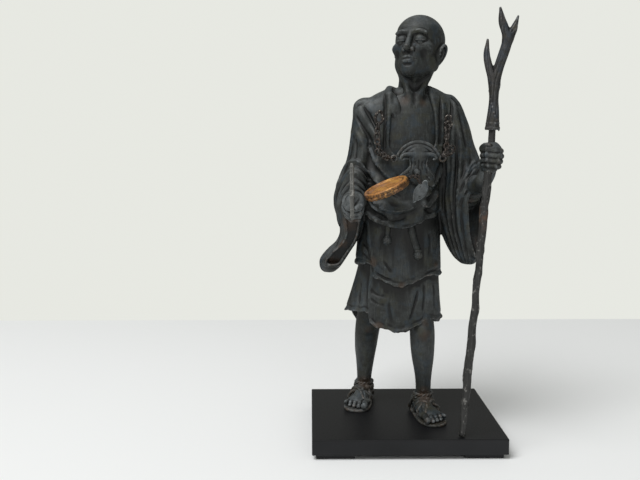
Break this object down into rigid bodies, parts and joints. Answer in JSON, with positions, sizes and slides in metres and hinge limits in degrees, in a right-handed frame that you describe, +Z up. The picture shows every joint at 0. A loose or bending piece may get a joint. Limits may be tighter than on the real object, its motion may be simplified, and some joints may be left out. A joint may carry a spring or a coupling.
{
  "type": "walking monk figure on a plinth",
  "caption": "Standing figure of a travelling monk with a forked staff, a small mallet and a gong hung at the chest, on a low black plinth.",
  "frame": {"origin": "middle of the plinth's underside", "axes": "+Z up along the figure, -Y the front, +X to the viewer's right"},
  "size_m": [0.1, 0.086, 0.2279],
  "materials": {
    "black_lacquer": "satin black lacquer",
    "dark_resin": "cast resin, dark patina with worn brown edges",
    "aged_wood": "cast resin painted as dark wood",
    "antler": "cast resin painted as dark antler",
    "old_gold": "aged gold with brown speckle",
    "dark_bronze": "dark bronze, dull"
  },
  "bodies": {
    "root": {"plinth": "black_lacquer", "monk_figure": "dark_resin", "staff_shaft": "aged_wood", "staff_antler_head": "antler", "chest_yoke": "dark_resin", "gong": "old_gold", "gong_hanger_knot": "dark_bronze", "chain_right": "dark_bronze", "chain_left": "dark_bronze", "mallet": "aged_wood"}
  },
  "joints": []
}
